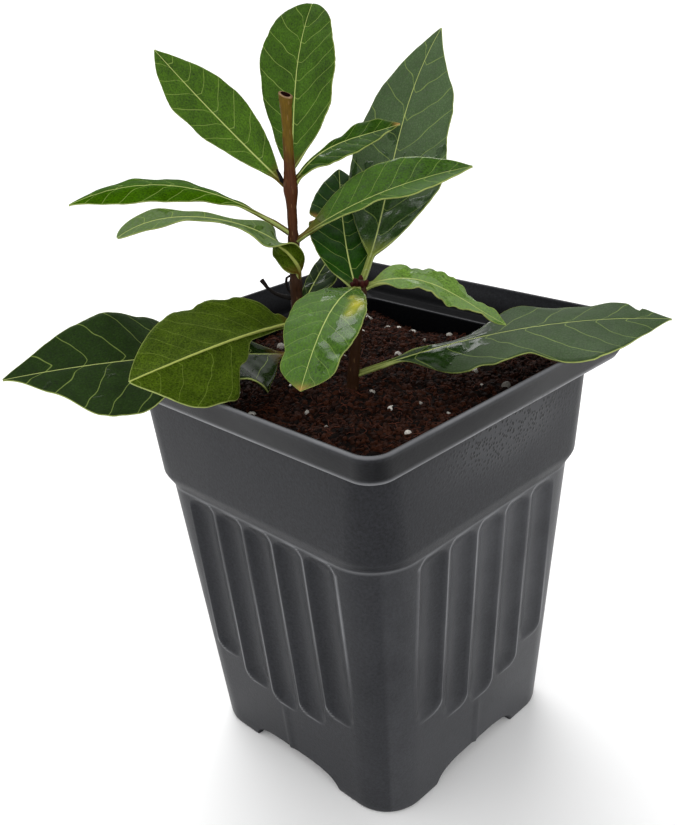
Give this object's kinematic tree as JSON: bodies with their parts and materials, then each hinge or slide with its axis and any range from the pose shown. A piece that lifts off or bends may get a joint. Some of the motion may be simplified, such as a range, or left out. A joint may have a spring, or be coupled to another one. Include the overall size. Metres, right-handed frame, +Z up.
{
  "type": "potted bay laurel",
  "caption": "Young bay laurel with two short stems and broad glossy leaves, growing in potting mix in a square fluted black nursery pot.",
  "frame": {"origin": "middle of the pot's flat underside, on the surface that it stands on", "axes": "+Z up; X and Y square to the pot's four sides, and the view with the most leaf is from between +X and -Y"},
  "size_m": [0.1144, 0.1298, 0.1889],
  "materials": {
    "pot_plastic": "satin moulded",
    "potting_mix": "damp and crumbly",
    "bark": "smooth young bark",
    "leaf": "glossy above, matte below"
  },
  "bodies": {
    "root": {"pot": "pot_plastic", "potting_mix": "potting_mix", "main_stem": "bark", "side_shoot": "bark", "dead_twig": "bark", "leaf_crown_upright": "leaf", "leaf_crown_left": "leaf", "leaf_crown_right": "leaf", "leaf_upper_left": "leaf", "leaf_upper_right": "leaf", "leaf_middle_left": "leaf", "leaf_turned_left": "leaf", "leaf_low_left": "leaf", "leaf_low_back": "leaf", "leaf_shoot_middle": "leaf", "leaf_shoot_right": "leaf", "leaf_shoot_front": "leaf", "leaf_shoot_tall": "leaf", "leaf_low_right": "leaf"}
  },
  "joints": []
}
